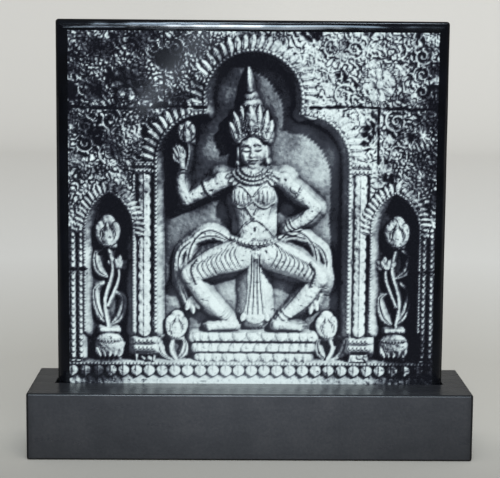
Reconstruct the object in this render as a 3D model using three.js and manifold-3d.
// A picture plaque on its stand, in millimetres, +Z up, seen from the front along +Y.
// A lacquered board stands on edge in a slot across the top of a painted block. Its front edges are
// well rounded, and a square photographic sheet is bonded to the flat of its front face.
// The origin is on the table, under the middle of the block.
import * as THREE from "three";
import { mergeVertices } from "three/addons/utils/BufferGeometryUtils.js";
import Module from "manifold-3d";

const wasm = await Module();
wasm.setup();

// The board.
const PANEL_WIDTH = 150;
const PANEL_HEIGHT = 150;
const PANEL_THICKNESS = 8;
const PANEL_FRONT_ROUND = 4; // radius of the round-over along the front edges
const PANEL_BACK_ROUND = 1; // the plainer one along the back edges
const PANEL_CORNER = 1.2; // radius of the four corners, as seen from the front
const PANEL_SHIFT = 0.3; // how far right of the block's middle the board has been pushed

// The photographic sheet, trimmed to the flat of the board's face inside the front round-over.
const PRINT_SIDE_MARGIN = 4.5; // bare board left beside the sheet, on average of the two sides
const PRINT_TOP_MARGIN = 4.3;
const PRINT_FOOT_MARGIN = 4.5; // down in the slot, out of sight
const PRINT_THICKNESS = 0.3;
const PRINT_SHIFT = 0.3; // how far right of the board's middle the sheet was bonded

// The block.
const BASE_END_MARGIN = 9.5; // how far the block runs past the board at each end
const BASE_DEPTH = 46.5;
const BASE_HEIGHT = 25.6;
const BASE_EDGE_ROUND = 0.9; // the eased edges round the top and the underside
const BASE_CORNER = 1.2; // the eased upright corners

// The slot, a little larger than the board and the sheet together.
const SLOT_DEPTH = 9.9;
const SLOT_FACE_CLEARANCE = 0.35; // before the sheet, and again behind the board
const SLOT_END_CLEARANCE = 0.5;

// How finely the rounded edges are cut.
const LARGE_ROUND_STEPS = 10;
const SMALL_ROUND_STEPS = 4;
const CORNER_STEPS = 6;
const SMALLEST_CORNER = 0.05; // keeps a corner's points apart where a round-over has used it up

// Worked out from the sizes above.
const baseWidth = PANEL_WIDTH + 2 * BASE_END_MARGIN;
const stackThickness = PANEL_THICKNESS + PRINT_THICKNESS;
const slotWidth = stackThickness + 2 * SLOT_FACE_CLEARANCE;
const slotLength = PANEL_WIDTH + 2 * SLOT_END_CLEARANCE;
const slotFloor = BASE_HEIGHT - SLOT_DEPTH;
const panelTop = slotFloor + PANEL_HEIGHT;
const printFront = -stackThickness / 2;
const panelFront = printFront + PRINT_THICKNESS;
const printWidth = PANEL_WIDTH - 2 * PRINT_SIDE_MARGIN;
const printHeight = PANEL_HEIGHT - PRINT_TOP_MARGIN - PRINT_FOOT_MARGIN;
const printTop = panelTop - PRINT_TOP_MARGIN;

// A rectangle's outline with round corners, as points anticlockwise about its middle.
function roundedOutline(width, height, radius) {
  const points = [];
  const corners = [
    [1, 1],
    [-1, 1],
    [-1, -1],
    [1, -1],
  ];
  corners.forEach(([sideX, sideY], quarter) => {
    for (let step = 0; step <= CORNER_STEPS; step++) {
      const angle = ((quarter + step / CORNER_STEPS) * Math.PI) / 2;
      points.push([
        sideX * (width / 2 - radius) + radius * Math.cos(angle),
        sideY * (height / 2 - radius) + radius * Math.sin(angle),
      ]);
    }
  });
  return points;
}

// A quarter round as pairs of inset and distance from the face, from the face out to the full outline.
function quarterRound(radius, steps) {
  const pairs = [];
  for (let step = 0; step <= steps; step++) {
    const angle = ((step / steps) * Math.PI) / 2;
    pairs.push([radius * (1 - Math.sin(angle)), radius * (1 - Math.cos(angle))]);
  }
  return pairs;
}

// A block with rounded edges: outlines stacked from one face to the other and closed at both.
// It lies in X and Y and is stacked along Z, from 0 to its thickness.
function easedBlock({ width, height, thickness, corner, startRound, startSteps, endRound, endSteps }) {
  const start = quarterRound(startRound, startSteps);
  const end = quarterRound(endRound, endSteps).reverse();
  const levels = [
    ...start.map(([inset, from]) => [inset, from]),
    ...end.map(([inset, from]) => [inset, thickness - from]),
  ];
  const positions = [];
  const around = 4 * (CORNER_STEPS + 1);
  for (const [inset, level] of levels) {
    const radius = Math.max(corner - inset, SMALLEST_CORNER);
    for (const [x, y] of roundedOutline(width - 2 * inset, height - 2 * inset, radius)) {
      positions.push(x, y, level);
    }
  }
  const startMiddle = positions.length / 3;
  positions.push(0, 0, 0, 0, 0, thickness);
  const endMiddle = startMiddle + 1;
  const lastLevel = (levels.length - 1) * around;
  const faces = [];
  for (let i = 0; i < around; i++) {
    const next = (i + 1) % around;
    faces.push(startMiddle, next, i);
    faces.push(endMiddle, lastLevel + i, lastLevel + next);
    for (let level = 0; level < levels.length - 1; level++) {
      const low = level * around;
      const high = low + around;
      faces.push(low + i, low + next, high + next);
      faces.push(low + i, high + next, high + i);
    }
  }
  const geometry = new THREE.BufferGeometry();
  geometry.setAttribute("position", new THREE.Float32BufferAttribute(positions, 3));
  geometry.setIndex(faces);
  return geometry;
}

// Turns a block stacked along Z so that it is stacked along +Y, with its outline upright in X and Z.
function standUp(geometry) {
  geometry.rotateX(Math.PI / 2); // its height goes up and its start face goes to the back
  geometry.rotateZ(Math.PI); // and its start face comes to the front
  return geometry;
}

function solidOf(geometry) {
  const bare = geometry.clone();
  bare.deleteAttribute("normal");
  bare.deleteAttribute("uv");
  const merged = mergeVertices(bare);
  return new wasm.Manifold(
    new wasm.Mesh({
      numProp: 3,
      vertProperties: merged.attributes.position.array,
      triVerts: merged.index.array,
    }),
  );
}

function geometryOf(solid) {
  const mesh = solid.getMesh();
  const geometry = new THREE.BufferGeometry();
  geometry.setAttribute("position", new THREE.BufferAttribute(mesh.vertProperties, 3));
  geometry.setIndex(new THREE.BufferAttribute(mesh.triVerts, 1));
  geometry.computeVertexNormals();
  return geometry;
}

function namedMesh(name, geometry, material) {
  const mesh = new THREE.Mesh(geometry, material);
  mesh.name = name;
  return mesh;
}

// The block, with the blind slot cut down into its top.
function makeBase() {
  const block = easedBlock({
    width: baseWidth,
    height: BASE_DEPTH,
    thickness: BASE_HEIGHT,
    corner: BASE_CORNER,
    startRound: BASE_EDGE_ROUND,
    startSteps: SMALL_ROUND_STEPS,
    endRound: BASE_EDGE_ROUND,
    endSteps: SMALL_ROUND_STEPS,
  });
  const cutHeight = 2 * SLOT_DEPTH; // half of the cutter stands above the block
  const cutter = new THREE.BoxGeometry(slotLength, slotWidth, cutHeight);
  cutter.translate(0, 0, slotFloor + cutHeight / 2);
  const paint = new THREE.MeshStandardMaterial({ color: 0x3e4045, roughness: 0.6, metalness: 0 });
  return namedMesh("base", geometryOf(solidOf(block).subtract(solidOf(cutter))), paint);
}

// The board, standing on the slot's floor.
function makePanel() {
  const board = standUp(
    easedBlock({
      width: PANEL_WIDTH,
      height: PANEL_HEIGHT,
      thickness: PANEL_THICKNESS,
      corner: PANEL_CORNER,
      startRound: PANEL_FRONT_ROUND,
      startSteps: LARGE_ROUND_STEPS,
      endRound: PANEL_BACK_ROUND,
      endSteps: SMALL_ROUND_STEPS,
    }),
  );
  board.computeVertexNormals();
  const lacquer = new THREE.MeshStandardMaterial({ color: 0x0b0c10, roughness: 0.08, metalness: 0 });
  const mesh = namedMesh("panel", board, lacquer);
  mesh.position.set(PANEL_SHIFT, panelFront, slotFloor + PANEL_HEIGHT / 2);
  return mesh;
}

// The photographic sheet on the flat of the board's front face.
function makePrint() {
  const sheet = new THREE.BoxGeometry(printWidth, PRINT_THICKNESS, printHeight);
  const gloss = new THREE.MeshStandardMaterial({ color: 0x8a9090, roughness: 0.1, metalness: 0 });
  const mesh = namedMesh("print", sheet, gloss);
  mesh.position.set(
    PANEL_SHIFT + PRINT_SHIFT,
    printFront + PRINT_THICKNESS / 2,
    printTop - printHeight / 2,
  );
  return mesh;
}

const plaque = new THREE.Group();
plaque.add(makeBase(), makePanel(), makePrint());

export default plaque;
